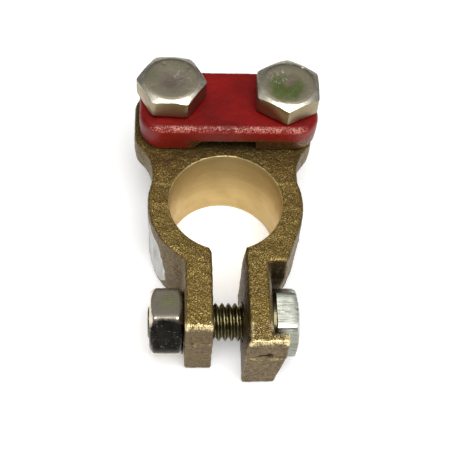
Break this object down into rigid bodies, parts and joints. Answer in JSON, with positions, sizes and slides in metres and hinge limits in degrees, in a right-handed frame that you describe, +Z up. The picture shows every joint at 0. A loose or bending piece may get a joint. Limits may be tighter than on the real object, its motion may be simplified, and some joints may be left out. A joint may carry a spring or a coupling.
{
  "type": "battery terminal clamp",
  "caption": "Slit cast brass post clamp with a pinch bolt and nut across its ears and a painted cable clamp bar held down by hex bolts.",
  "frame": {"origin": "on the post bore's axis at the casting's bottom face", "axes": "+Z up along the post bore, +Y from the bore towards the cable bar, -Y towards the pinch ears, +X towards the pinch bolt's head"},
  "size_m": [0.0303, 0.0482, 0.0233],
  "materials": {
    "cast_brass": "sand-cast, rough, with a smooth machined bore",
    "red_paint": "satin red paint worn back to brass at the lower edges",
    "yellow_zinc": "yellow zinc plated",
    "grey_zinc": "zinc plated"
  },
  "bodies": {
    "casting": {"body": "cast_brass"},
    "cable_bar": {"clamp_bar": "red_paint"},
    "left_bolt": {"left_clamp_bolt": "yellow_zinc"},
    "right_bolt": {"right_clamp_bolt": "yellow_zinc"},
    "pinch_screw": {"pinch_bolt": "grey_zinc"},
    "nut": {"pinch_nut": "grey_zinc"}
  },
  "joints": [
    {"name": "bar_lift", "type": "slide", "parent": "casting", "child": "cable_bar", "axis": [0, 0, 1], "range_m": [0, 0.005]},
    {"name": "left_bolt_turn", "type": "hinge", "parent": "cable_bar", "child": "left_bolt", "pos_m": [-0.00865, 0.01765, 0.0193], "axis": [0, 0, 1], "range_deg": [0, 1800]},
    {"name": "right_bolt_turn", "type": "hinge", "parent": "cable_bar", "child": "right_bolt", "pos_m": [0.01015, 0.01695, 0.0193], "axis": [0, 0, 1], "range_deg": [0, 1800]},
    {"name": "nut_turn", "type": "hinge", "parent": "casting", "child": "nut", "pos_m": [-0.0093, -0.01703, 0.0058], "axis": [-1, 0, 0], "range_deg": [0, 1800]},
    {"name": "pinch_bolt_slide", "type": "slide", "parent": "casting", "child": "pinch_screw", "axis": [1, 0, 0], "range_m": [0, 0.005]}
  ],
  "couplings": [
    {"joint": "left_bolt_turn", "follows": "bar_lift", "rad_per_m": 6283.2},
    {"joint": "right_bolt_turn", "follows": "bar_lift", "rad_per_m": 6283.2},
    {"joint": "nut_turn", "follows": "pinch_bolt_slide", "rad_per_m": 6283.2}
  ]
}
